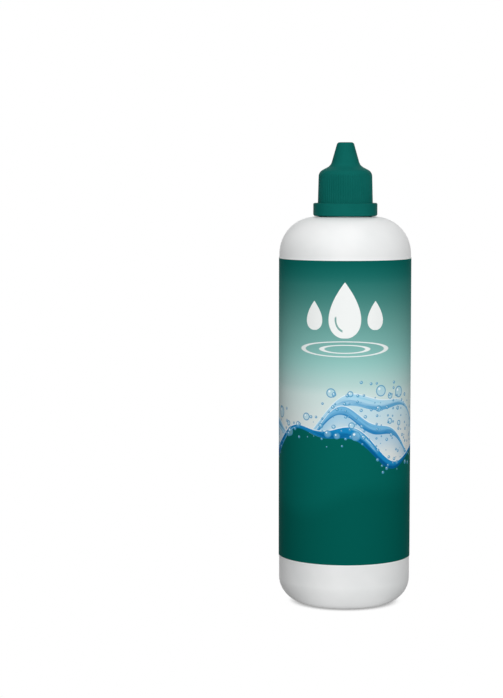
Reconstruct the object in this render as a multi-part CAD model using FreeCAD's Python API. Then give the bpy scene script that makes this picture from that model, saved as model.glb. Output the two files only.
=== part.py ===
import FreeCAD, Part
import math
import os

# A 360 ml contact lens solution bottle, in millimetres, +Z up, origin at the middle of the standing base

# Bottle
body_diameter = 57.5
body_height = 169.65
bottle_wall = 1.1
heel_radius = 11.0
standing_width = 2.0
push_up = 2.6
shoulder_height = 17.35
shoulder_reach = 13.1

# Neck finish
neck_bore = 14.4
neck_wall = 1.6
neck_height = 14.9
bead_projection = 3.5
bead_thickness = 2.2
bead_round = 0.6

# Thread, shared by the neck and the cap
thread_pitch = 3.175
thread_depth = 1.1
thread_root_width = 2.0
thread_crest_width = 0.9
thread_clearance = 0.25
thread_top_gap = 1.5
thread_bite = 0.2
neck_thread_turns = 1.5
cap_thread_turns = 1.25

# Dropper nozzle
flange_thickness = 1.3
flange_inset = 0.1
spout_height = 14.0
spout_base_diameter = 12.2
spout_tip_diameter = 4.2
spout_wall = 1.3
spout_round = 0.5
orifice_diameter = 1.5
orifice_length = 2.5
plug_length = 10.0
plug_wall = 1.5
plug_relief = 0.15
seal_rib_count = 2
seal_rib_height = 1.2
seal_rib_foot = 1.0
seal_rib_spacing = 3.2

# Tamper ring
ring_stand_off = 0.3
ring_lip = 1.1
ring_lip_grip = 0.7
ring_play = 0.35
ring_clearance = 0.4
ring_wall = 1.3
ring_web = 1.1
ring_web_clearance = 0.5
ring_round = 0.6
ring_foot_round = 0.35
rim_height = 0.6
rim_clearance = 0.3

# Break bridges
bridge_count = 8
bridge_gap = 0.4
bridge_width = 0.8
bridge_length = 0.8
bridge_inset = 0.45

# Screw cap
skirt_wall = 1.85
skirt_draft = 0.35
dome_gap = 1.9
dome_wall = 1.5
dome_angle = 28.0
dome_round = 2.6
nose_clearance = 0.6
nose_wall = 1.45
nose_tip_gap = 0.7
nose_tip_wall = 1.45
nose_tip_round = 1.0
nose_foot_round = 3.7
seal_ring_inner_diameter = 14.0
seal_ring_wall = 0.9
seal_gap = 0.1
pin_clearance = 0.08
pin_reach = 1.2
grip_groove_count = 68
grip_groove_radius = 0.4
grip_groove_depth = 0.22
grip_groove_overrun = 0.7

# Wrap label
label_film = 0.15
label_adhesive = 0.05
label_foot_margin = 9.5
label_head_margin = 0.3
label_back_gap = 3.0

# Solution
solution_gap = 0.1
headspace = 15.8

# Heights that follow
body_r = body_diameter / 2
shoulder_z = body_height - shoulder_height
land_z = body_height + neck_height
ring_bottom_z = body_height + ring_stand_off
lip_top_z = ring_bottom_z + ring_lip
bead_bottom_z = lip_top_z + ring_play
bead_top_z = bead_bottom_z + bead_thickness
web_bottom_z = bead_top_z + ring_play
ring_top_z = web_bottom_z + ring_web
rim_top_z = ring_top_z + rim_height
skirt_bottom_z = ring_top_z + bridge_gap
flange_top_z = land_z + flange_thickness
spout_top_z = flange_top_z + spout_height
nose_inside_z = spout_top_z + nose_tip_gap
cap_top_z = nose_inside_z + nose_tip_wall
thread_end_z = land_z - thread_top_gap - thread_root_width / 2
thread_start_z = thread_end_z - neck_thread_turns * thread_pitch

# Radii that follow
standing_r = body_r - heel_radius - standing_width
bore_r = neck_bore / 2
neck_r = bore_r + neck_wall
neck_crest_r = neck_r + thread_depth
cap_root_r = neck_crest_r + thread_clearance
cap_crest_r = neck_r + thread_clearance
bead_r = neck_r + bead_projection
lip_r = bead_r - ring_lip_grip
channel_r = bead_r + ring_clearance
ring_r = channel_r + ring_wall
web_r = neck_crest_r + ring_web_clearance
skirt_r = cap_root_r + skirt_wall
dome_r = skirt_r - skirt_draft
rim_r = skirt_r + rim_clearance
flange_r = neck_r - flange_inset
plug_r = bore_r - plug_relief
plug_inner_r = plug_r - plug_wall
spout_r = spout_base_diameter / 2
spout_tip_r = spout_tip_diameter / 2
orifice_r = orifice_diameter / 2
pin_r = orifice_r - pin_clearance
seal_inner_r = seal_ring_inner_diameter / 2
seal_outer_r = seal_inner_r + seal_ring_wall

up = FreeCAD.Vector(0, 0, 1)
centre = FreeCAD.Vector(0, 0, 0)


def point(r, z):
    return FreeCAD.Vector(r, 0, z)


def round_corner(before, corner, after, sizes):
    # Start, end and weight of the arc at a corner; one size is a radius, two are the lengths run in and out
    into = (corner - before).normalize()
    out = (after - corner).normalize()
    half_turn = into.getAngle(out) / 2
    runs = sizes
    if len(sizes) == 1:
        runs = [sizes[0] * math.tan(half_turn)] * 2
    return corner - into * runs[0], corner + out * runs[1], math.cos(half_turn)


def turned(corners, angle=360):
    # A solid of revolution from a closed outline of corners (r, z) that may be followed by their rounding
    points = [point(c[0], c[1]) for c in corners]
    count = len(points)
    starts = []
    ends = []
    arcs = []
    for i in range(count):
        sizes = corners[i][2:]
        if sizes:
            start, end, weight = round_corner(points[i - 1], points[i], points[(i + 1) % count], sizes)
            curve = Part.BSplineCurve()
            curve.buildFromPolesMultsKnots(
                [start, points[i], end], [3, 3], [0, 1], False, 2, [1, weight, 1]
            )
            arcs.append(curve.toShape())
        else:
            start = points[i]
            end = points[i]
            arcs.append(None)
        starts.append(start)
        ends.append(end)
    edges = []
    for i in range(count):
        if arcs[i]:
            edges.append(arcs[i])
        following = starts[(i + 1) % count]
        if ends[i].distanceToPoint(following) > 1e-6:
            edges.append(Part.makeLine(ends[i], following))
    outline = Part.Wire(Part.__sortEdges__(edges))
    return Part.Face(outline).revolve(centre, up, angle)


def thread_ridge(wall_r, crest_r, root_width, crest_width, start_z, turns):
    # A right-hand ridge whose root lies a little inside the wall that carries it
    bite = math.copysign(thread_bite, wall_r - crest_r)
    helix = Part.Wire(Part.makeHelix(thread_pitch, thread_pitch * turns, wall_r).Edges)
    section = Part.makePolygon([
        point(wall_r + bite, -root_width / 2),
        point(crest_r, -crest_width / 2),
        point(crest_r, crest_width / 2),
        point(wall_r + bite, root_width / 2),
        point(wall_r + bite, -root_width / 2),
    ])
    ridge = helix.makePipeShell([section], True, True)
    ridge.translate(point(0, start_z))
    return ridge


# Bottle body: the base's dish is an arc from the axis to the inner edge of the standing ring
dish_run = (standing_r ** 2 + push_up ** 2) / (2 * standing_r)
bottle_blank = turned([
    (0, push_up),
    (dish_run, push_up, dish_run, dish_run),
    (standing_r, 0),
    (body_r, 0, heel_radius),
    (body_r, body_height, shoulder_height, shoulder_reach),
    (neck_r, body_height),
    (neck_r, bead_bottom_z),
    (bead_r, bead_bottom_z),
    (bead_r, bead_top_z, bead_round),
    (neck_r, bead_top_z),
    (neck_r, land_z),
    (bore_r, land_z),
    (bore_r, body_height - bottle_wall),
    (
        body_r - bottle_wall,
        body_height - bottle_wall,
        shoulder_reach - bottle_wall,
        shoulder_height - bottle_wall,
    ),
    (body_r - bottle_wall, bottle_wall, heel_radius - bottle_wall),
    (standing_r, bottle_wall),
    (dish_run, push_up + bottle_wall, dish_run, dish_run),
    (0, push_up + bottle_wall),
])
neck_thread = thread_ridge(
    neck_r, neck_crest_r, thread_root_width, thread_crest_width, thread_start_z, neck_thread_turns
)
bottle_body = bottle_blank.fuse(neck_thread)

# Wrap label: the film starts and ends at the back, which is +Y
label_inner_r = body_r + label_adhesive
label_outer_r = label_inner_r + label_film
label_bottom_z = heel_radius + label_foot_margin
label_top_z = shoulder_z - label_head_margin
label_gap_angle = math.degrees(label_back_gap / label_outer_r)
wrap_label = turned(
    [
        (label_inner_r, label_bottom_z),
        (label_outer_r, label_bottom_z),
        (label_outer_r, label_top_z),
        (label_inner_r, label_top_z),
    ],
    360 - label_gap_angle,
)
wrap_label.rotate(centre, up, 90 + label_gap_angle / 2)

# Dropper nozzle: the plug's sealing ribs meet the bore, the flange rests on the neck's land
taper = (spout_r - spout_tip_r) / spout_height
plug_bottom_z = land_z - plug_length
plug_outline = [(plug_inner_r, plug_bottom_z), (plug_r, plug_bottom_z)]
for i in range(seal_rib_count):
    rib_z = plug_bottom_z + seal_rib_foot + i * seal_rib_spacing
    plug_outline.append((plug_r, rib_z))
    plug_outline.append((bore_r, rib_z + seal_rib_height / 3))
    plug_outline.append((bore_r, rib_z + seal_rib_height * 2 / 3))
    plug_outline.append((plug_r, rib_z + seal_rib_height))
dropper_nozzle = turned(plug_outline + [
    (plug_r, land_z),
    (flange_r, land_z),
    (flange_r, flange_top_z, spout_round),
    (spout_r, flange_top_z, spout_round),
    (spout_tip_r, spout_top_z, spout_round),
    (orifice_r, spout_top_z),
    (orifice_r, spout_top_z - orifice_length),
    (spout_tip_r + orifice_length * taper - spout_wall, spout_top_z - orifice_length),
    (spout_r - spout_wall, flange_top_z),
    (plug_inner_r, land_z),
])

# Tamper ring: it hooks under the neck bead, and its rim stands round the foot of the cap's skirt
tamper_ring = turned([
    (lip_r, ring_bottom_z),
    (ring_r, ring_bottom_z, ring_foot_round),
    (ring_r, rim_top_z, ring_round),
    (rim_r, rim_top_z),
    (rim_r, ring_top_z),
    (web_r, ring_top_z),
    (web_r, web_bottom_z),
    (channel_r, web_bottom_z),
    (channel_r, lip_top_z),
    (lip_r, lip_top_z),
])

# Break bridges: they fill the slit between the ring and the cap's skirt
bridges = []
for i in range(bridge_count):
    bridge = Part.makeBox(
        bridge_length,
        bridge_width,
        bridge_gap,
        FreeCAD.Vector(cap_root_r + bridge_inset, -bridge_width / 2, ring_top_z),
    )
    bridge.rotate(centre, up, 360 * (i + 0.5) / bridge_count)
    bridges.append(bridge)
tamper_bridges = Part.makeCompound(bridges)

# Screw cap: skirt, dome and a nose that follows the spout
dome_z = flange_top_z + dome_gap + dome_wall
dome_slope = math.tan(math.radians(dome_angle))


def dome_height(r, thickness):
    return dome_z - thickness + (dome_r - r) * dome_slope


def nose_radius(z, offset):
    return spout_r + offset - (z - flange_top_z) * taper


def nose_foot(thickness, offset):
    # Where the dome's slope meets the nose's cone
    r = nose_radius(dome_height(0, thickness), offset) / (1 - dome_slope * taper)
    return r, dome_height(r, thickness)


foot_r, foot_z = nose_foot(0, nose_clearance + nose_wall)
inner_foot_r, inner_foot_z = nose_foot(dome_wall, nose_clearance)
cap_blank = turned([
    (cap_root_r, skirt_bottom_z),
    (skirt_r, skirt_bottom_z),
    (dome_r, dome_z, dome_round),
    (foot_r, foot_z, nose_foot_round),
    (nose_radius(cap_top_z, nose_clearance + nose_wall), cap_top_z, nose_tip_round),
    (0, cap_top_z),
    (0, spout_top_z - pin_reach),
    (pin_r, spout_top_z - pin_reach),
    (pin_r, nose_inside_z),
    (nose_radius(nose_inside_z, nose_clearance), nose_inside_z),
    (inner_foot_r, inner_foot_z),
    (seal_inner_r, dome_height(seal_inner_r, dome_wall)),
    (seal_inner_r, flange_top_z + seal_gap),
    (seal_outer_r, flange_top_z + seal_gap),
    (seal_outer_r, dome_height(seal_outer_r, dome_wall)),
    (cap_root_r, dome_height(cap_root_r, dome_wall)),
])
cap_thread = thread_ridge(
    cap_root_r,
    cap_crest_r,
    thread_root_width,
    thread_crest_width,
    thread_start_z + thread_pitch / 2,
    cap_thread_turns,
)
groove_lean = point(-skirt_draft, dome_z - skirt_bottom_z).normalize()
groove_foot = point(skirt_r + grip_groove_radius - grip_groove_depth, skirt_bottom_z)
groove = Part.makeCylinder(
    grip_groove_radius,
    dome_z - skirt_bottom_z + 2 * grip_groove_overrun,
    groove_foot - groove_lean * grip_groove_overrun,
    groove_lean,
)
grooves = []
for i in range(grip_groove_count):
    cutter = groove.copy()
    cutter.rotate(centre, up, 360 * i / grip_groove_count)
    grooves.append(cutter)
screw_cap = cap_blank.fuse(cap_thread).cut(grooves)

# Solution: it fills the bottle up to the headspace under the shoulder's flat
solution_wall = bottle_wall + solution_gap
solution_top_z = body_height - headspace
inside = turned([
    (0, push_up + solution_wall),
    (dish_run, push_up + solution_wall, dish_run, dish_run),
    (standing_r, solution_wall),
    (body_r - solution_wall, solution_wall, heel_radius - solution_wall),
    (
        body_r - solution_wall,
        body_height - solution_wall,
        shoulder_height - solution_wall,
        shoulder_reach - solution_wall,
    ),
    (0, body_height - solution_wall),
])
above_level = Part.makeCylinder(body_diameter, body_height, point(0, solution_top_z))
solution = inside.cut(above_level)

nodes = {
    "bottle_body": bottle_body,
    "wrap_label": wrap_label,
    "dropper_nozzle": dropper_nozzle,
    "screw_cap": screw_cap,
    "tamper_ring": tamper_ring,
    "tamper_bridges": tamper_bridges,
    "solution": solution,
}
os.makedirs("parts", exist_ok=True)
for name, shape in nodes.items():
    print(name, "solids", len(shape.Solids), "volume", round(shape.Volume, 2), "valid", shape.isValid())
    shape.exportStep("parts/" + name + ".step")
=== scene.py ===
import bmesh
import bpy
import math
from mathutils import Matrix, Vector


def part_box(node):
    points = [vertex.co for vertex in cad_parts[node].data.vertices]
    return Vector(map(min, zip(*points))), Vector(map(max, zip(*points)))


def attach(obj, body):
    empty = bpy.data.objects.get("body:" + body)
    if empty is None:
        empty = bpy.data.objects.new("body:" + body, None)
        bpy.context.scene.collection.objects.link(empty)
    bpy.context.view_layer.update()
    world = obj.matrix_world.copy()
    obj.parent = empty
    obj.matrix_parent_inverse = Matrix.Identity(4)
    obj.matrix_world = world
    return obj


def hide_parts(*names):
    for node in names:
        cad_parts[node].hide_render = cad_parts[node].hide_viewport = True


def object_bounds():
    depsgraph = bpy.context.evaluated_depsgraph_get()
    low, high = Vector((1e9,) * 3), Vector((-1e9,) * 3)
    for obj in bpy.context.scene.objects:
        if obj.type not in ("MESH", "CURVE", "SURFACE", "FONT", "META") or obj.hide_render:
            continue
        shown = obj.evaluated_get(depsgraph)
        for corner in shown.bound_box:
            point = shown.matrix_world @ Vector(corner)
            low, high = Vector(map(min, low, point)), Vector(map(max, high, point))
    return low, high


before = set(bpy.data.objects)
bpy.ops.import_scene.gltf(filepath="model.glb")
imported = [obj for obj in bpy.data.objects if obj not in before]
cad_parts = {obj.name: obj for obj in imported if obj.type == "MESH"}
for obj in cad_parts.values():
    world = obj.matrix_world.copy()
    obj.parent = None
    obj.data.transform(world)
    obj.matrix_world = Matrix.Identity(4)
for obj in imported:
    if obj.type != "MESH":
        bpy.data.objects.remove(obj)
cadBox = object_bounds()
mm = 0.001
noZero = 1e-9  # keeps a division off zero
print("frame loaded:", ", ".join(sorted(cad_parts)))


class Wire:
    # a node socket that takes part in sums; node() adds any other node to the same tree
    def __init__(self, tree, socket=None):
        self.tree = tree
        self.socket = socket

    def node(self, kind, settings=None, inputs=None):
        made = self.tree.nodes.new(kind)
        for name, value in (settings or {}).items():
            if name == "stops":  # a colour ramp's (share, colour) pairs
                made.color_ramp.interpolation = "B_SPLINE"
                ramp = made.color_ramp.elements
                while len(ramp) < len(value):
                    ramp.new(1.0)
                for stop, (share, colour) in zip(ramp, value):
                    stop.position = share
                    stop.color = colour
            else:
                setattr(made, name, value)
        for key, value in (inputs or {}).items():
            if isinstance(value, Wire):
                self.tree.links.new(value.socket, made.inputs[key])
            else:
                made.inputs[key].default_value = value
        return Wire(self.tree, made.outputs[0] if made.outputs else None)

    def out(self, name):
        return Wire(self.tree, self.socket.node.outputs[name])

    def math(self, operation, *others):
        return self.node("ShaderNodeMath", {"operation": operation}, dict(enumerate((self, *others))))

    def fromNumber(self, operation, number):
        return self.node("ShaderNodeMath", {"operation": operation}, {0: number, 1: self})

    def __add__(self, other):
        return self.math("ADD", other)

    def __radd__(self, other):
        return self.fromNumber("ADD", other)

    def __sub__(self, other):
        return self.math("SUBTRACT", other)

    def __rsub__(self, other):
        return self.fromNumber("SUBTRACT", other)

    def __mul__(self, other):
        return self.math("MULTIPLY", other)

    def __rmul__(self, other):
        return self.fromNumber("MULTIPLY", other)

    def __truediv__(self, other):
        return self.math("DIVIDE", other)

    def __rtruediv__(self, other):
        return self.fromNumber("DIVIDE", other)

    def __neg__(self):
        return self.fromNumber("MULTIPLY", -1.0)

    def __abs__(self):
        return self.math("ABSOLUTE")

    def sin(self):
        return self.math("SINE")

    def cos(self):
        return self.math("COSINE")

    def root(self):
        return self.math("SQRT")

    def step(self, low, high):  # 0 at low, 1 at high, smooth between
        places = {"Value": self, "From Min": low, "From Max": high}
        return self.node("ShaderNodeMapRange", {"interpolation_type": "SMOOTHSTEP"}, places)

    def mix(self, first, second):  # two colours by this factor
        return self.node("ShaderNodeMix", {"data_type": "RGBA"}, {0: self, 6: first, 7: second}).out(2)

    def vector(self, x, y, z):
        return self.node("ShaderNodeCombineXYZ", inputs={0: x, 1: y, 2: z})

    def split(self):
        parts = self.node("ShaderNodeSeparateXYZ", inputs={0: self})
        return parts, parts.out("Y"), parts.out("Z")

    def noise(self, scale, detail=2.0, roughness=0.5):  # self is the place it is read at
        sizes = {"Vector": self, "Scale": scale, "Detail": detail, "Roughness": roughness}
        return self.node("ShaderNodeTexNoise", inputs=sizes)


def tone(red, green, blue):  # a screen colour, 0 to 255, as the linear colour that nodes take
    linear = []
    for value in (red, green, blue):
        share = value / 255
        linear.append(share / 12.92 if share <= 0.04045 else ((share + 0.055) / 1.055) ** 2.4)
    return (*linear, 1.0)


# finishes: a noise is waves to a metre, detail and roughness; tint, gloss and relief are shares of them

def startFinish(name):
    material = bpy.data.materials.new(name)
    material.use_nodes = True
    material.node_tree.nodes.clear()
    pen = Wire(material.node_tree)
    place = pen.node("ShaderNodeTexCoord").out("Object")  # metres in the part's own frame
    return material, pen, place


def readMarks(place, look):
    return {mark: place.noise(*size) for mark, size in look["noises"].items()}


def blend(marks, shares):  # each mark by its share, on top of a base
    total = shares.get("base", 0.0)
    for mark in marks:
        if mark in shares:
            total = marks[mark] * shares[mark] + total
    return total


def endFinish(pen, colour, marks, look):
    # plain holds the sockets that are the same all over
    normal = pen.node("ShaderNodeBump", inputs={"Height": blend(marks, look["relief"]), **look["bump"]})
    sockets = {"Base Color": colour, "Roughness": blend(marks, look["gloss"]), "Normal": normal}
    shader = pen.node("ShaderNodeBsdfPrincipled", inputs={**sockets, **look["plain"]})
    pen.node("ShaderNodeOutputMaterial", inputs={"Surface": shader})


def makeFinish(name, look):
    # two tones clouded into each other
    material, pen, place = startFinish(name)
    marks = readMarks(place, look)
    if "partingWidth" in look:
        marks["parting"] = abs(place.split()[1]).step(look["partingWidth"] * mm, 0.0)
    cloud = blend(marks, look["tint"])
    if "tintRange" in look:
        cloud = cloud.step(*look["tintRange"])
    endFinish(pen, cloud.mix(look["main"], look["shade"]), marks, look)
    return material


bottlePlastic = {
    "main": tone(238, 239, 239),
    "shade": tone(229, 231, 231),
    "noises": {"cloud": (45, 3.0), "peel": (700, 3.0), "sag": (160, 2.0)},
    "partingWidth": 0.35,  # mm, the mould's parting line up both sides
    "tint": {"cloud": 1.0},
    "tintRange": (0.3, 0.75),
    "gloss": {"base": 0.34, "cloud": 0.1, "peel": 0.06},
    "relief": {"peel": 0.12, "sag": 0.2, "parting": 0.5},
    "bump": {"Strength": 0.2, "Distance": 0.0002},
    "plain": {"Specular IOR Level": 0.2, "IOR": 1.5},
}

capPlastic = {
    "main": tone(16, 99, 92),
    "shade": tone(12, 93, 86),
    "noises": {"cloud": (120, 3.0), "grain": (2600, 2.0), "flow": (35, 1.0, 0.4)},
    "tint": {"cloud": 0.6, "flow": 0.4},  # flow is the faint marks of the moulding
    "tintRange": (0.3, 0.7),
    "gloss": {"base": 0.28, "grain": 0.1, "flow": 0.06},
    "relief": {"grain": 0.5, "cloud": 0.3},
    "bump": {"Strength": 0.3, "Distance": 0.0001},
    "plain": {"Specular IOR Level": 0.005, "IOR": 1.49},
}

ringPlastic = {**capPlastic, "gloss": {**capPlastic["gloss"], "base": 0.3}}  # a little duller

nozzlePlastic = {
    "main": tone(232, 236, 236),
    "shade": tone(214, 222, 223),
    "noises": {"cloud": (220, 3.0), "grain": (1800, 2.0)},
    "tint": {"cloud": 1.0},
    "tintRange": (0.3, 0.7),
    "gloss": {"base": 0.36, "grain": 0.12},
    "relief": {"grain": 0.5, "cloud": 0.5},
    "bump": {"Strength": 0.25, "Distance": 0.0001},
    "plain": {"Specular IOR Level": 0.4, "Subsurface Weight": 0.15, "Subsurface Scale": 0.0015},
}

clearSolution = {
    "main": tone(240, 248, 250),
    "shade": tone(226, 240, 245),
    "noises": {"drift": (60, 2.0)},
    "tint": {"drift": 1.0},
    "gloss": {"base": 0.02, "drift": 0.03},
    "relief": {"drift": 1.0},
    "bump": {"Strength": 0.05, "Distance": 0.0002},
    "plain": {"IOR": 1.333, "Transmission Weight": 0.95},
}

whitePlastic = makeFinish("white_bottle_plastic", bottlePlastic)
greenCap = makeFinish("green_cap_plastic", capPlastic)
greenRing = makeFinish("green_ring_plastic", ringPlastic)
milkPlastic = makeFinish("natural_nozzle_plastic", nozzlePlastic)
print("finishes made")

# the label's print: a fade, drops, a swell of water and bubbles; lengths in mm round and up the bottle
frontWave = {"level": 71.0, "waves": [(7.6, 84.0, 2.6), (2.4, 31.0, 0.4)]}  # lifts, lengths, shifts

labelPrint = {
    "fade": [  # share of the label's height, colour
        (0.43, tone(224, 229, 228)),
        (0.56, tone(202, 224, 221)),
        (0.59, tone(186, 214, 211)),
        (0.66, tone(144, 198, 192)),
        (0.725, tone(124, 178, 172)),
        (0.825, tone(84, 145, 138)),
        (0.92, tone(36, 115, 108)),
        (0.97, tone(14, 98, 91)),
        (1.0, tone(9, 93, 86)),
    ],
    "deep": tone(5, 96, 88),
    "deepShade": tone(3, 88, 80),
    "water": tone(46, 138, 186),
    "waterPale": tone(150, 205, 228),
    "foam": tone(228, 241, 246),
    "white": tone(240, 243, 242),
    "soft": 0.12,  # blur to each side of a printed edge
    "margin": 0.4,  # unprinted edge
    "marginSoft": 0.05,
    "swell": frontWave,
    "swellEdge": (0.7, 0.4),  # the front ribbon hides it
    "undertow": {"level": 49.0, "waves": [(5.0, 96.0, 0.2), (1.6, 41.0, 1.0)]},
    "undertowSoft": 6.0,
    "ribbons": [  # back to front; a veil of thin water hangs under each
        {
            "level": 82.0,
            "waves": [(8.6, 92.0, 0.6), (3.0, 35.0, 2.0)],
            "thick": 4.6,
            "veil": 14.0,
            "low": tone(96, 164, 206),
            "high": tone(172, 214, 234),
        },
        {
            "level": 76.0,
            "waves": [(7.4, 74.0, 1.5), (2.8, 27.0, 2.2)],
            "thick": 4.0,
            "veil": 10.0,
            "low": tone(38, 126, 184),
            "high": tone(116, 182, 220),
        },
        {
            **frontWave,
            "thick": 4.8,
            "veil": 1.0,
            "low": tone(8, 92, 146),
            "high": tone(28, 134, 192),
        },
    ],
    "veilShare": 0.5,
    "bulge": {"turn": 0.11, "shift": 0.7, "swing": 0.4, "middle": 0.75},  # a ribbon's thickness along it
    "streaks": {"across": 0.035, "down": 0.33, "noise": (1.0, 4.0, 0.6)},
    "streakTones": {"rise": 0.25, "shade": (0.42, 0.72), "pale": (0.58, 0.7)},
    "foamLine": {"edge": (0.3, 0.1), "share": 0.85},
    "bubbles": [(10.5, 31.0, 0.6), (6.2, 0.0, 0.6), (3.0, 17.0, 0.75)],  # cell size, shift and scatter
    "bubble": {
        "size": (0.06, 0.2),  # least share of a cell, and what chance adds
        "sink": (-9.0, 1.0),  # where they thin out under the swell
        "rise": (19.0, 3.0),  # and over the back ribbon
        "luck": (0.32, 0.34),
        "soft": 0.1,
        "rim": 0.2,
        "rimEdge": (0.34, 0.1),
        "rimShare": 0.75,
        "discShare": 0.45,
        "spotAside": 0.35,  # shares of a bubble's radius
        "spotSize": 0.24,
    },
    "drops": [  # middle, foot, height and half width
        (0.0, 118.5, 24.0, 7.0),
        (-13.5, 122.0, 12.5, 3.7),
        (13.5, 122.0, 12.5, 3.7),
    ],
    "dropWidest": 0.385,  # the most that root(t) * (1 - t) comes to
    "dropEnd": 0.01,
    "glint": {  # a thin curve low on the left of the first drop
        "wide": 4.0,
        "tall": 5.2,
        "rise": 8.2,
        "edge": (0.12, 0.06),
        "side": (-0.6, -1.4),
        "head": (1.5, 0.5),
        "share": 0.9,
    },
    "ripples": {
        "level": 114.0,
        "radii": [(10.0, 1.7), (19.0, 3.2)],
        "width": 0.2,
        "edge": (1.3, 0.7),
        "share": 0.9,
    },
    "noises": {"grain": (1500, 2.0), "cockle": (90, 2.0)},
    "gloss": {"base": 0.42, "grain": 0.1},
    "relief": {"grain": 0.3, "cockle": 1.0},
    "bump": {"Strength": 0.15, "Distance": 0.0001},
    "plain": {"Specular IOR Level": 0.002, "IOR": 1.5},
}


def wavyLine(across, line):
    height = line["level"]
    for lift, length, shift in line["waves"]:
        height = (across * (2 * math.pi / length) + shift).sin() * lift + height
    return height


def ellipseReach(across, height, wide, tall):  # 1 on the ellipse, less inside
    return ((across / wide).math("POWER", 2.0) + (height / tall).math("POWER", 2.0)).root()


def printRibbon(pen, colour, across, height, line, look):
    # a band of water: streaks, pale glints and a line of foam on top; the swell hides its foot
    soft = look["soft"]
    thick = line["thick"]
    depth = height - wavyLine(across, line)
    above = (height - wavyLine(across, look["swell"])).step(-soft, soft)
    bulge = look["bulge"]
    swing = (across * bulge["turn"] + bulge["shift"]).sin()
    body = swing * (thick * bulge["swing"]) + thick * bulge["middle"]
    under = (depth - body).step(soft, -soft) * above
    veil = depth.step(-line["veil"], 0.0) * under
    colour = (veil * look["veilShare"]).mix(colour, line["high"])
    streaks = look["streaks"]
    tones = look["streakTones"]
    flow = pen.vector(across * streaks["across"], depth * streaks["down"], thick)
    streak = flow.noise(*streaks["noise"])
    shade = (streak + depth / body * tones["rise"]).step(*tones["shade"])
    water = shade.mix(line["low"], line["high"])
    water = streak.step(*tones["pale"]).mix(water, look["waterPale"])
    colour = (depth.step(-soft, soft) * under).mix(colour, water)
    foam = look["foamLine"]
    crest = abs(depth - body).step(*foam["edge"]) * above
    return (crest * foam["share"]).mix(colour, look["foam"])


def printBubbles(pen, colour, across, height, field, look):
    # one to a cell and of random size: a tinted disc, a rim and a bright spot
    cell, shift, scatter = field
    bubble = look["bubble"]
    sizes = {"Vector": pen.vector(across + shift, height, 0.0), "Scale": 1 / cell, "Randomness": scatter}
    cells = pen.node("ShaderNodeTexVoronoi", {"voronoi_dimensions": "2D"}, sizes)
    chance, pick = cells.out("Color").split()[:2]
    shiftedX, midY = cells.out("Position").split()[:2]
    midX = shiftedX - shift
    least, more = bubble["size"]
    radius = (chance * more + least) * cell
    distance = cells * cell
    # they thin out above the water and into the deep
    sunk = midY - wavyLine(midX, look["swell"])
    risen = midY - wavyLine(midX, look["ribbons"][0])
    near = sunk.step(*bubble["sink"]) * risen.step(*bubble["rise"])
    shown = (near - pick).step(*bubble["luck"])
    soft = bubble["soft"]
    disc = (distance - radius).step(soft, -soft)
    rim = abs(distance - radius + bubble["rim"]).step(*bubble["rimEdge"])
    aside = across - midX + radius * bubble["spotAside"]
    above = height - midY - radius * bubble["spotAside"]
    spot = (aside * aside + above * above).root() - radius * bubble["spotSize"]
    colour = (disc * shown * bubble["discShare"]).mix(colour, look["waterPale"])
    colour = (rim * shown * bubble["rimShare"]).mix(colour, look["water"])
    return (spot.step(soft, -soft) * shown).mix(colour, look["foam"])


def printDrop(colour, across, height, drop, look):
    middle, foot, tall, half = drop
    soft = look["soft"]
    end = look["dropEnd"]
    rise = (height - foot) / tall
    inRise = rise.math("MINIMUM", 1.0).math("MAXIMUM", 0.0)
    edge = inRise.root() * (1.0 - inRise) * (half / look["dropWidest"])
    sides = (abs(across - middle) - edge).step(soft, -soft)
    ends = rise.step(0.0, end) * rise.step(1.0, 1.0 - end)
    return (sides * ends).mix(colour, look["white"])


def printGlint(colour, across, height, fade, look):
    glint = look["glint"]
    rise = height - (look["drops"][0][1] + glint["rise"])
    curve = abs(ellipseReach(across, rise, glint["wide"], glint["tall"]) - 1.0).step(*glint["edge"])
    mask = curve * across.step(*glint["side"]) * rise.step(*glint["head"])
    return (mask * glint["share"]).mix(colour, fade)


def printRipples(colour, across, height, look):
    ripples = look["ripples"]
    outer, inner = ripples["edge"]
    for wide, tall in ripples["radii"]:
        width = ripples["width"] / tall
        reach = ellipseReach(across, height - ripples["level"], wide, tall)
        arc = abs(reach - 1.0).step(width * outer, width * inner)
        colour = (arc * ripples["share"]).mix(colour, look["white"])
    return colour


def makeLabelFilm(look, radius, low, high, halfRound):
    material, pen, place = startFinish("label_film")
    x, y, z = place.split()
    across = x.math("ARCTAN2", -y) * (radius / mm)
    height = z / mm
    fade = pen.node("ShaderNodeValToRGB", {"stops": look["fade"]}, {0: (z - low) / (high - low)})
    # dark swell with a slower undertow
    slack = look["undertowSoft"]
    undertow = (height - wavyLine(across, look["undertow"])).step(slack, -slack)
    deep = undertow.mix(look["deep"], look["deepShade"])
    colour = (height - wavyLine(across, look["swell"])).step(*look["swellEdge"]).mix(fade, deep)
    for line in look["ribbons"]:
        colour = printRibbon(pen, colour, across, height, line, look)
    for field in look["bubbles"]:
        colour = printBubbles(pen, colour, across, height, field, look)
    # plain drops over two ripples
    for drop in look["drops"]:
        colour = printDrop(colour, across, height, drop, look)
    colour = printGlint(colour, across, height, fade, look)
    colour = printRipples(colour, across, height, look)
    # unprinted margins all round
    edge = ((z - low) / mm).math("MINIMUM", (high - z) / mm).math("MINIMUM", halfRound - abs(across))
    margin = look["margin"]
    slack = look["marginSoft"]
    colour = edge.step(margin + slack, margin - slack).mix(colour, look["white"])
    endFinish(pen, colour, readMarks(place, look), look)
    return material


# outlines and node trees

# an arc has the lesser count of steps by its turn in degrees and by its chord in mm
arcStep = {"degrees": 3.2, "long": 0.12, "fewest": 4}
meshRules = {"apart": 1e-5, "weld": 1e-7, "sharp": 40}  # mm in an outline, metres in a mesh, degrees


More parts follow.
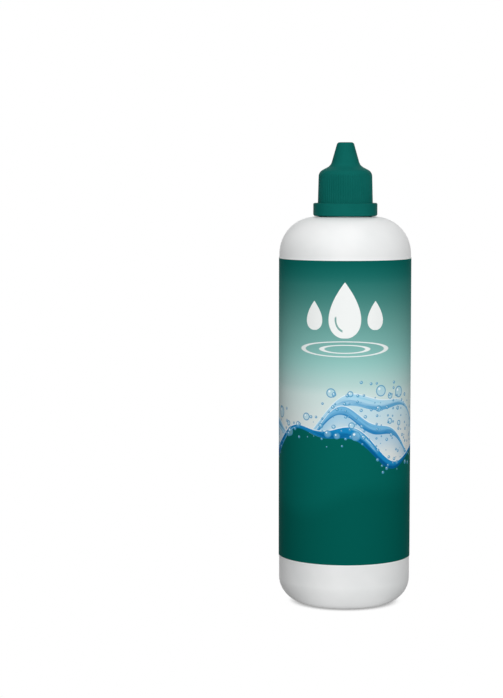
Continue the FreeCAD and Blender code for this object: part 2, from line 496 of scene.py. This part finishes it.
def roundedOutline(corners):
    # closed (radius, height) corners in mm; a third value rounds one, two more run an ellipse in and out
    points = []
    for i, corner in enumerate(corners):
        here = Vector(corner[:2])
        rounding = corner[2:]
        if not rounding:
            points.append(here)
            continue
        into = (here - Vector(corners[i - 1][:2])).normalized()
        away = (Vector(corners[(i + 1) % len(corners)][:2]) - here).normalized()
        turn = into.angle(away)
        runs = rounding if len(rounding) == 2 else [rounding[0] * math.tan(turn / 2)] * 2
        start = here - into * runs[0]
        end = here + away * runs[1]
        byAngle = math.degrees(turn) / arcStep["degrees"]
        byLength = (end - start).length / arcStep["long"]
        steps = max(arcStep["fewest"], round(min(byAngle, byLength)))
        for k in range(steps + 1):
            t = k / steps
            shares = ((1 - t) ** 2, 2 * t * (1 - t) * math.cos(turn / 2), t * t)
            points.append((start * shares[0] + here * shares[1] + end * shares[2]) / sum(shares))
    before = points[-1:] + points[:-1]
    return [p for p, q in zip(points, before) if (p - q).length > meshRules["apart"]]


def newTree(name, inputs):
    tree = bpy.data.node_groups.new(name, "GeometryNodeTree")
    tree.interface.new_socket("Piece", in_out="OUTPUT", socket_type="NodeSocketGeometry")
    tree.interface.new_socket("Outline", in_out="INPUT", socket_type="NodeSocketGeometry")
    for label, kind in {**inputs, "Finish": "Material"}.items():
        tree.interface.new_socket(label, in_out="INPUT", socket_type="NodeSocket" + kind)
    return tree, Wire(tree).node("NodeGroupInput")


def endTree(geometry, group):
    plain = geometry.node("GeometryNodeRealizeInstances", inputs={"Geometry": geometry})
    finish = {"Geometry": plain, "Material": group.out("Finish")}
    finished = plain.node("GeometryNodeSetMaterial", inputs=finish)
    finished.node("NodeGroupOutput", inputs={"Piece": finished})


def freeze(piece, modifier):
    # the modifier's result becomes the piece's plain mesh
    bpy.context.view_layer.update()
    graph = bpy.context.evaluated_depsgraph_get()
    mesh = bpy.data.meshes.new_from_object(piece.evaluated_get(graph))
    piece.modifiers.remove(modifier)
    piece.data = mesh
    mesh.name = piece.name


def runTree(name, tree, values, outline=(), hub=0.0):
    # the outline lies as the sweep wants it: x is the radius past the hub, y minus the height
    piece = bpy.data.objects.new(name, bpy.data.meshes.new(name))
    points = [(p.x * mm - hub, -p.y * mm, 0.0) for p in outline]
    edges = [(i, (i + 1) % len(points)) for i in range(len(points))]
    piece.data.from_pydata(points, edges, [])
    bpy.context.scene.collection.objects.link(piece)
    modifier = piece.modifiers.new("nodes", "NODES")
    modifier.node_group = tree
    for item in tree.interface.items_tree:
        if item.in_out == "INPUT" and item.name in values:
            modifier[item.identifier] = values[item.name]
    freeze(piece, modifier)
    return piece


def closeMesh(piece):
    work = bmesh.new()
    work.from_mesh(piece.data)
    bmesh.ops.remove_doubles(work, verts=work.verts, dist=meshRules["weld"])
    bmesh.ops.recalc_face_normals(work, faces=work.faces)
    for face in work.faces:
        face.smooth = True
    work.to_mesh(piece.data)
    work.free()
    piece.data.set_sharp_from_angle(angle=math.radians(meshRules["sharp"]))


def fitPiece(piece, body, slot, *nodes):
    closeMesh(piece)
    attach(piece, body)
    if nodes:
        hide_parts(*nodes)
    heights = [v.co.z / mm for v in piece.data.vertices]
    faces = len(piece.data.polygons)
    print(f"{piece.name}: {faces} faces, z {min(heights):.2f} to {max(heights):.2f} mm")


turning = {
    "hub": 1.0 * mm,  # radius of the circle that an outline is swept round
    "weld": 1e-6,
    "wallBlur": 0.1 * mm,  # tells the outer wall from what lies inside it
    "grooveWave": (-0.1, 0.95),  # levels of a cosine at which a groove starts and is deepest
}


def makeTurnTree(rules):
    # turns the outline round +Z and presses upright grip grooves into its outer wall
    inputs = {
        "Segments": "Int",
        "Hub": "Float",
        "Groove Count": "Int",
        "Groove Depth": "Float",
        "Groove Head": "Float",
        "Groove Fade": "Float",
        "Groove Reach": "Float",
    }
    tree, group = newTree("turned_piece", inputs)
    outline = group.node("GeometryNodeMeshToCurve", inputs={"Mesh": group.out("Outline")})
    circle = group.node(
        "GeometryNodeCurvePrimitiveCircle",
        {"mode": "RADIUS"},
        {"Resolution": group.out("Segments"), "Radius": group.out("Hub")},
    )
    swept = group.node("GeometryNodeCurveToMesh", inputs={"Curve": circle, "Profile Curve": outline})
    welded = {"Geometry": swept, "Distance": rules["weld"]}
    closed = group.node("GeometryNodeMergeByDistance", inputs=welded)
    x, y, z = group.node("GeometryNodeInputPosition").split()
    radius = (x * x + y * y).root() + noZero
    wave = (y.math("ARCTAN2", x) * group.out("Groove Count")).cos()
    head = group.out("Groove Head")
    reach = group.out("Groove Reach")
    band = z.step(head, head - group.out("Groove Fade"))
    outer = radius.step(reach - rules["wallBlur"], reach)
    push = wave.step(*rules["grooveWave"]) * band * outer * group.out("Groove Depth") / radius * -1.0
    offset = push.vector(x * push, y * push, 0.0)
    grooved = group.node("GeometryNodeSetPosition", inputs={"Geometry": closed, "Offset": offset})
    endTree(grooved, group)
    return tree


turnTree = makeTurnTree(turning)
ungrooved = {"Groove Count": 0, "Groove Depth": 0.0, "Groove Reach": 1.0}


def turnPiece(name, corners, segments, finish, grooves):
    values = {"Hub": turning["hub"], "Segments": segments, "Finish": finish, **grooves}
    return runTree(name, turnTree, values, roundedOutline(corners), turning["hub"])


# bottle body, lengths in mm
bottle = {
    "radius": 28.75,
    "height": 169.65,  # to the shoulder's flat
    "wall": 1.1,
    "heel": 11.0,
    "standing": 2.0,
    "pushUp": 2.6,
    "shoulderHeight": 16.2,
    "shoulderReach": 15.8,
    "bore": 7.2,
    "neckRadius": 8.8,
    "neckFoot": 0.8,
    "landRound": 0.35,
    "beadRadius": 12.3,
    "beadFoot": 1.75,  # above the shoulder's flat
    "beadThick": 2.2,
    "beadRound": 0.6,
    "segments": 288,
}
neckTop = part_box("bottle_body")[1].z / mm


def makeBottle(size):
    radius = size["radius"]
    top = size["height"]
    wall = size["wall"]
    beadLow = top + size["beadFoot"]
    beadHigh = beadLow + size["beadThick"]
    stand = radius - size["heel"] - size["standing"]
    dish = (stand ** 2 + size["pushUp"] ** 2) / (2 * stand)
    corners = [
        (0, size["pushUp"]),
        (dish, size["pushUp"], dish, dish),
        (stand, 0),
        (radius, 0, size["heel"]),
        (radius, top, size["shoulderHeight"], size["shoulderReach"]),
        (size["neckRadius"], top, size["neckFoot"]),
        (size["neckRadius"], beadLow),
        (size["beadRadius"], beadLow, size["landRound"]),
        (size["beadRadius"], beadHigh, size["beadRound"]),
        (size["neckRadius"], beadHigh, size["landRound"]),
        (size["neckRadius"], neckTop, size["landRound"]),
        (size["bore"], neckTop, size["landRound"]),
        (size["bore"], top - wall),
        (radius - wall, top - wall, size["shoulderReach"] - wall, size["shoulderHeight"] - wall),
        (radius - wall, wall, size["heel"] - wall),
        (stand, wall),
        (dish, size["pushUp"] + wall, dish, dish),
        (0, size["pushUp"] + wall),
    ]
    piece = turnPiece("bottle", corners, size["segments"], whitePlastic, ungrooved)
    fitPiece(piece, "bottle", "white_bottle_plastic", "bottle_body")


makeBottle(bottle)

# screw threads, lengths in mm
thread = {
    "lead": 3.175,
    "depth": 1.1,
    "rootWidth": 2.0,
    "crestWidth": 0.9,
    "bite": 0.2,  # of the root into its wall
    "round": 0.2,
    "runOut": 0.06,  # share of the ridge that each end takes to draw in
    "drawIn": (-0.2, 1.0),  # starts below nothing, so an end keeps a small face
    "stepsPerTurn": 96,
    "topGap": 1.5,  # under the neck's land
    "neckTurns": 1.5,
    "capTurns": 1.25,
    "capRoot": 10.15,
}


def makeThreadTree(size):
    # sweeps the outline up a right-hand helix, drawn in at both ends
    inputs = {"Radius": "Float", "Lead": "Float", "Turns": "Float", "Start": "Float", "Run Out": "Float"}
    tree, group = newTree("thread_ridge", inputs)
    helix = group.node(
        "GeometryNodeCurveSpiral",
        inputs={
            "Resolution": size["stepsPerTurn"],
            "Rotations": group.out("Turns"),
            "Start Radius": group.out("Radius"),
            "End Radius": group.out("Radius"),
            "Height": group.out("Turns") * group.out("Lead"),
            "Reverse": True,
        },
    )
    upright = group.node("GeometryNodeSetCurveNormal", {"mode": "Z_UP"}, {"Curve": helix})
    along = group.node("GeometryNodeSplineParameter")
    ends = along.math("MINIMUM", 1.0 - along) / group.out("Run Out")
    section = group.node("GeometryNodeMeshToCurve", inputs={"Mesh": group.out("Outline")})
    swept = group.node(
        "GeometryNodeCurveToMesh",
        inputs={
            "Curve": upright,
            "Profile Curve": section,
            "Scale": ends.step(*size["drawIn"]),
            "Fill Caps": True,
        },
    )
    lift = group.vector(0.0, 0.0, group.out("Start"))
    raised = group.node("GeometryNodeSetPosition", inputs={"Geometry": swept, "Offset": lift})
    endTree(raised, group)
    return tree


threadTree = makeThreadTree(thread)
threadStart = neckTop - thread["topGap"] - thread["rootWidth"] / 2 - thread["neckTurns"] * thread["lead"]
neckRidge = {
    "wall": bottle["neckRadius"],
    "outward": 1,
    "start": threadStart,
    "turns": thread["neckTurns"],
}
capRidge = {
    "wall": thread["capRoot"],
    "outward": -1,
    "start": threadStart + thread["lead"] / 2,  # between two turns of the neck's
    "turns": thread["capTurns"],
}


def makeThread(name, size, ridge, finish, body, slot):
    # the section is taken from the wall that carries it, out or in by the thread's depth
    wall = ridge["wall"]
    root = wall - ridge["outward"] * size["bite"]
    crest = wall + ridge["outward"] * size["depth"]
    section = roundedOutline([
        (root, -size["rootWidth"] / 2),
        (crest, -size["crestWidth"] / 2, size["round"]),
        (crest, size["crestWidth"] / 2, size["round"]),
        (root, size["rootWidth"] / 2),
    ])
    values = {
        "Radius": wall * mm,
        "Lead": size["lead"] * mm,
        "Turns": ridge["turns"],
        "Start": ridge["start"] * mm,
        "Run Out": size["runOut"],
        "Finish": finish,
    }
    piece = runTree(name, threadTree, values, section, wall * mm)
    fitPiece(piece, body, slot)


makeThread("neck_thread", thread, neckRidge, whitePlastic, "bottle", "white_bottle_plastic")

# wrap label, lengths in mm
label = {"film": 0.15, "backGap": 3.0, "columns": 240, "rows": 3}


def makeLabelTree():
    # a flat film bent round +Z with its middle at the front and its ends at the back
    inputs = {
        "Radius": "Float",
        "Gap": "Float",
        "Low": "Float",
        "High": "Float",
        "Columns": "Int",
        "Rows": "Int",
    }
    tree, group = newTree("wrapped_film", inputs)
    radius = group.out("Radius")
    low = group.out("Low")
    high = group.out("High")
    sheet = group.node(
        "GeometryNodeMeshGrid",
        inputs={
            "Size X": radius * (2 * math.pi) - group.out("Gap"),
            "Size Y": high - low,
            "Vertices X": group.out("Columns"),
            "Vertices Y": group.out("Rows"),
        },
    )
    x, y = group.node("GeometryNodeInputPosition").split()[:2]
    angle = x / radius
    rise = y + (high + low) * 0.5
    bent = group.vector(angle.sin() * radius, angle.cos() * radius * -1.0, rise)
    wrapped = group.node("GeometryNodeSetPosition", inputs={"Geometry": sheet, "Position": bent})
    endTree(wrapped, group)
    return tree


def makeLabel(size):
    low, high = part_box("wrap_label")
    radius = min(high.x, -low.x, -low.y)  # the frame's own outer face
    halfRound = math.pi * radius / mm - size["backGap"] / 2
    values = {
        "Radius": radius,
        "Gap": size["backGap"] * mm,
        "Low": low.z,
        "High": high.z,
        "Columns": size["columns"],
        "Rows": size["rows"],
        "Finish": makeLabelFilm(labelPrint, radius, low.z, high.z, halfRound),
    }
    piece = runTree("label", makeLabelTree(), values)
    skin = piece.modifiers.new("film", "SOLIDIFY")
    skin.thickness = size["film"] * mm
    skin.offset = -1.0
    freeze(piece, skin)
    fitPiece(piece, "bottle", "label_film", "wrap_label")


makeLabel(label)

# dropper nozzle, lengths in mm
nozzle = {
    "flangeRadius": 8.7,
    "flange": 1.3,
    "flangeSeat": 0.2,  # rounding under the flange
    "round": 0.5,
    "spoutHeight": 14.0,
    "spoutRadius": 6.1,
    "tipRadius": 2.1,
    "wall": 1.3,
    "orifice": 0.75,
    "orificeLength": 2.5,
    "orificeRound": 0.15,
    "plugRadius": 7.05,
    "plugWall": 1.5,
    "plugLead": 0.6,  # rounding that leads the plug into the bore
    "plugInner": 0.3,
    "ribs": [1.0, 4.2],
    "ribHeight": 1.2,
    "ribSlack": 0.01,
    "segments": 160,
}
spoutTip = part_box("dropper_nozzle")[1].z / mm
flangeTop = spoutTip - nozzle["spoutHeight"]
spoutSlope = (nozzle["spoutRadius"] - nozzle["tipRadius"]) / nozzle["spoutHeight"]


def makeNozzle(size):
    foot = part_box("dropper_nozzle")[0].z / mm
    land = flangeTop - size["flange"]
    throat = spoutTip - size["orificeLength"]
    plug = size["plugRadius"]
    inside = plug - size["plugWall"]
    corners = [(inside, foot, size["plugInner"]), (plug, foot, size["plugLead"])]
    ribReach = bottle["bore"] - size["ribSlack"]
    for rib in size["ribs"]:
        for share, reach in ((0, plug), (1 / 3, ribReach), (2 / 3, ribReach), (1, plug)):
            corners.append((reach, foot + rib + share * size["ribHeight"]))
    corners += [
        (plug, land),
        (size["flangeRadius"], land, size["flangeSeat"]),
        (size["flangeRadius"], flangeTop, size["round"]),
        (size["spoutRadius"], flangeTop, size["round"]),
        (size["tipRadius"], spoutTip, size["round"]),
        (size["orifice"], spoutTip, size["orificeRound"]),
        (size["orifice"], throat),
        (size["tipRadius"] + size["orificeLength"] * spoutSlope - size["wall"], throat),
        (size["spoutRadius"] - size["wall"], flangeTop),
        (inside, land),
    ]
    piece = turnPiece("nozzle", corners, size["segments"], milkPlastic, ungrooved)
    fitPiece(piece, "bottle", "natural_nozzle_plastic", "dropper_nozzle")


makeNozzle(nozzle)

# tamper ring, lengths in mm
ring = {
    "radius": 14.0,
    "footRound": 0.9,
    "rimRound": 0.6,
    "rimRadius": 12.3,  # inside of the rim round the cap's skirt
    "rim": 0.6,
    "rimInner": 0.2,
    "lipRadius": 11.6,
    "lip": 1.1,
    "lipRound": 0.15,
    "hookRound": 0.3,  # on the lip's upper edge, which catches under the bead
    "channelRadius": 12.7,
    "webRadius": 10.4,
    "web": 1.1,
    "webRound": 0.15,
    "segments": 224,
}


def makeRing(size):
    low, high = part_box("tamper_ring")
    foot = low.z / mm
    head = high.z / mm
    seat = head - size["rim"]
    corners = [
        (size["lipRadius"], foot, size["lipRound"]),
        (size["radius"], foot, size["footRound"]),
        (size["radius"], head, size["rimRound"]),
        (size["rimRadius"], head, size["rimInner"]),
        (size["rimRadius"], seat),
        (size["webRadius"], seat, size["webRound"]),
        (size["webRadius"], seat - size["web"]),
        (size["channelRadius"], seat - size["web"]),
        (size["channelRadius"], foot + size["lip"]),
        (size["lipRadius"], foot + size["lip"], size["hookRound"]),
    ]
    piece = turnPiece("tear_ring", corners, size["segments"], greenRing, ungrooved)
    fitPiece(piece, "ring", "green_ring_plastic", "tamper_ring")


makeRing(ring)

# break bridges, lengths in mm
bridges = {"count": 8, "long": 0.8, "wide": 0.8, "inner": 10.6}


def makeBridgeTree():
    # small blocks on a circle, each turned to point outwards
    inputs = {
        "Count": "Int",
        "Radius": "Float",
        "Long": "Float",
        "Wide": "Float",
        "Low": "Float",
        "High": "Float",
    }
    tree, group = newTree("break_bridges", inputs)
    low = group.out("Low")
    high = group.out("High")
    ringOfPoints = {"Vertices": group.out("Count"), "Radius": group.out("Radius")}
    circle = group.node("GeometryNodeMeshCircle", inputs=ringOfPoints)
    size = group.vector(group.out("Long"), group.out("Wide"), high - low)
    block = group.node("GeometryNodeMeshCube", inputs={"Size": size})
    x, y = group.node("GeometryNodeInputPosition").split()[:2]
    outwards = group.vector(0.0, 0.0, y.math("ARCTAN2", x))
    spread = {"Points": circle, "Instance": block, "Rotation": outwards}
    blocks = group.node("GeometryNodeInstanceOnPoints", inputs=spread)
    halfStep = math.pi / group.out("Count")
    moved = group.node(
        "GeometryNodeTransform",
        inputs={
            "Geometry": blocks,
            "Translation": group.vector(0.0, 0.0, (high + low) * 0.5),
            "Rotation": group.vector(0.0, 0.0, halfStep),
        },
    )
    endTree(moved, group)
    return tree


def makeBridges(size):
    low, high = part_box("tamper_bridges")
    values = {
        "Count": size["count"],
        "Radius": (size["inner"] + size["long"] / 2) * mm,
        "Long": size["long"] * mm,
        "Wide": size["wide"] * mm,
        "Low": low.z,
        "High": high.z,
        "Finish": greenRing,
    }
    piece = runTree("break_bridges", makeBridgeTree(), values)
    fitPiece(piece, "ring", "green_ring_plastic", "tamper_bridges")


makeBridges(bridges)

# screw cap, lengths in mm
cap = {
    "skirtRadius": 12.0,
    "draft": 0.35,
    "domeRise": 3.28,  # dome's rim above the nozzle's flange
    "domeAngle": 28.0,
    "domeWall": 1.5,
    "domeRound": 3.3,
    "noseGap": 0.6,
    "noseWall": 1.45,
    "noseFoot": 3.7,
    "tipWall": 1.45,
    "tipRound": 1.25,
    "tipDrop": 0.002,  # keeps rounding inside the frame's box
    "edgeRound": 0.2,
    "sealRadius": 7.0,
    "sealWall": 0.9,
    "sealGap": 0.1,
    "sealRound": 0.2,
    "pinRadius": 0.67,
    "pinReach": 1.2,
    "pinRound": 0.2,
    "grooveCount": 68,
    "grooveDepth": 0.17,
    "grooveStop": 0.6,  # grooves end this far below the dome's rim
    "grooveFade": 1.4,
    "grooveReach": 0.6,  # outside the cap's bore by this, a wall counts as the outer one
    "segments": 816,
}


def makeCap(size):
    low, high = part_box("screw_cap")
    foot = low.z / mm
    top = high.z / mm - size["tipDrop"]
    rise = math.tan(math.radians(size["domeAngle"]))
    domeRadius = size["skirtRadius"] - size["draft"]
    domeHeight = flangeTop + size["domeRise"]

    def noseAt(height, wall):  # a cone round the spout, the gap and the wall
        return nozzle["spoutRadius"] + size["noseGap"] + wall - (height - flangeTop) * spoutSlope

    def domeAt(radius, wall):
        return domeHeight - wall + (domeRadius - radius) * rise

    def footAt(noseWall, domeWall):  # where dome and nose meet
        radius = noseAt(domeAt(0, domeWall), noseWall) / (1 - rise * spoutSlope)
        return radius, domeAt(radius, domeWall)

    wall = size["domeWall"]
    inner = thread["capRoot"]
    sealInner = size["sealRadius"]
    sealOuter = sealInner + size["sealWall"]
    sealFoot = flangeTop + size["sealGap"]
    pinTip = spoutTip - size["pinReach"]
    ceiling = top - size["tipWall"]
    corners = [
        (inner, foot, size["edgeRound"]),
        (size["skirtRadius"], foot, size["edgeRound"]),
        (domeRadius, domeHeight, size["domeRound"]),
        (*footAt(size["noseWall"], 0), size["noseFoot"]),
        (noseAt(top, size["noseWall"]), top, size["tipRound"]),
        (0, top),
        (0, pinTip),
        (size["pinRadius"], pinTip, size["pinRound"]),
        (size["pinRadius"], ceiling),
        (noseAt(ceiling, 0), ceiling),
        footAt(0, wall),
        (sealInner, domeAt(sealInner, wall)),
        (sealInner, sealFoot, size["sealRound"]),
        (sealOuter, sealFoot, size["sealRound"]),
        (sealOuter, domeAt(sealOuter, wall)),
        (inner, domeAt(inner, wall)),
    ]
    grooves = {
        "Groove Count": size["grooveCount"],
        "Groove Depth": size["grooveDepth"] * mm,
        "Groove Head": (domeHeight - size["grooveStop"]) * mm,
        "Groove Fade": size["grooveFade"] * mm,
        "Groove Reach": (inner + size["grooveReach"]) * mm,
    }
    piece = turnPiece("cap", corners, size["segments"], greenCap, grooves)
    fitPiece(piece, "cap", "green_cap_plastic", "screw_cap")


makeCap(cap)
makeThread("cap_thread", thread, capRidge, greenCap, "cap", "green_cap_plastic")

# solution stays the frame's own solid, inside the closed bottle
liquidFinish = makeFinish("clear_solution", clearSolution)
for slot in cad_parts["solution"].material_slots:
    slot.material = liquidFinish
print("pieces made")

# stage, lengths in metres
studio = {
    "floorSize": 12.0,
    "shadowReach": 0.03,  # over which the floor feels the object above it
    "shadowTone": 0.34,
    "shadowEdge": 0.34,  # share of open sky at which the shadow ends
    "besideGlow": 0.05,  # what the floor sends back to the object beside it
    "besideReach": (0.03, 0.16),
    "cardGlow": 0.4,  # and, as a white card does, in front of it
    "cardReach": (0.046, 0.026),
    "cardSector": (0.4, 0.9),
    "ambient": 0.25,
    "lamps": {
        "key": {"place": (0.05, -1.6, 0.18), "size": (1.0, 0.32), "power": 10.4},
        "side": {"place": (0.40, -1.49, 0.28), "size": (0.3, 0.3), "power": 7.9},
        "top": {"place": (-0.16, -0.1, 1.25), "size": (0.9, 0.9), "power": 5.9},
        "back": {"place": (0.0, 1.6, 0.3), "size": (0.9, 0.5), "power": 12.0},
    },
}


def seenRays(pen):
    path = pen.node("ShaderNodeLightPath")
    shown = path.out("Is Camera Ray") + path.out("Is Glossy Ray") + path.out("Is Transmission Ray")
    return shown.math("MINIMUM", 1.0)


def makeFloor(look):
    half = look["floorSize"] / 2
    corners = [(-half, -half, 0.0), (half, -half, 0.0), (half, half, 0.0), (-half, half, 0.0)]
    mesh = bpy.data.meshes.new("floor")
    mesh.from_pydata(corners, [], [(0, 1, 2, 3)])
    floor = bpy.data.objects.new("floor", mesh)
    bpy.context.scene.collection.objects.link(floor)
    material, pen, place = startFinish("pale_floor")
    x, y = place.split()[:2]
    reach = (x * x + y * y).root() + noZero
    level = look["ambient"]
    beside = look["besideGlow"]
    card = (-y / reach).step(*look["cardSector"]) * reach.step(*look["cardReach"]) * look["cardGlow"]
    bounce = reach.step(*look["besideReach"]) * (level - beside) + beside + card
    # seen, it is white with a soft shadow where the object stands close over it
    sky = pen.node("ShaderNodeAmbientOcclusion", inputs={"Distance": look["shadowReach"]}).out("AO")
    dark = look["shadowTone"]
    white = sky.step(0.0, look["shadowEdge"]) * (1.0 - dark) + dark
    light = seenRays(pen) * (white - bounce) + bounce
    glow = pen.node("ShaderNodeEmission", inputs={"Strength": light})
    under = pen.node("ShaderNodeNewGeometry").out("Backfacing")  # clear from below, to show the base
    clear = pen.node("ShaderNodeBsdfTransparent")
    surface = pen.node("ShaderNodeMixShader", inputs={0: under, 1: glow, 2: clear})
    pen.node("ShaderNodeOutputMaterial", inputs={"Surface": surface})
    mesh.materials.append(material)


def makeWorld(look):
    world = bpy.data.worlds.new("white_room")
    world.use_nodes = True
    world.node_tree.nodes.clear()
    pen = Wire(world.node_tree)
    white = (1.0, 1.0, 1.0, 1.0)
    light = pen.node("ShaderNodeBackground", inputs={"Color": white, "Strength": look["ambient"]})
    shown = pen.node("ShaderNodeBackground", inputs={"Color": white, "Strength": 1.0})
    both = pen.node("ShaderNodeMixShader", inputs={0: seenRays(pen), 1: light, 2: shown})
    pen.node("ShaderNodeOutputWorld", inputs={"Surface": both})
    bpy.context.scene.world = world


def makeLamp(name, look, target):
    lamp = bpy.data.lights.new(name, "AREA")
    lamp.shape = "RECTANGLE"
    lamp.size, lamp.size_y = look["size"]
    lamp.energy = look["power"]
    holder = bpy.data.objects.new(name, lamp)
    holder.location = look["place"]
    holder.rotation_euler = (target - Vector(look["place"])).to_track_quat("-Z", "Y").to_euler()
    holder.visible_glossy = False  # no glare along the edges, where white plastic meets the white room
    bpy.context.scene.collection.objects.link(holder)


makeFloor(studio)
makeWorld(studio)
middle = Vector((0.0, 0.0, cadBox[1].z / 2))
for name, look in studio["lamps"].items():
    makeLamp(name, look, middle)

# camera: in front of the bottle, a little above its neck, turned so the bottle stands right of the middle
shot = {
    "columns": 503,
    "rows": 698,
    "axisColumn": 345.1,
    "distance": 0.9,
    "height": 0.1899,
    "tilt": 4.975,  # degrees down
    "lens": 105.98,
    "sensor": 36.0,
    "clip": (0.05, 50.0),
}


def makeCamera(look):
    lens = bpy.data.cameras.new("camera")
    lens.sensor_width = look["sensor"]
    lens.lens = look["lens"]
    lens.clip_start, lens.clip_end = look["clip"]
    focalColumns = look["lens"] / look["sensor"] * look["rows"]
    turn = math.atan((look["axisColumn"] - look["columns"] / 2) / focalColumns)
    camera = bpy.data.objects.new("camera", lens)
    camera.location = (0.0, -look["distance"], look["height"])
    camera.rotation_euler = (math.pi / 2 - math.radians(look["tilt"]), 0.0, turn)
    bpy.context.scene.collection.objects.link(camera)
    bpy.context.scene.camera = camera


makeCamera(shot)
bpy.context.scene.view_settings.view_transform = "Standard"
print("stage set")
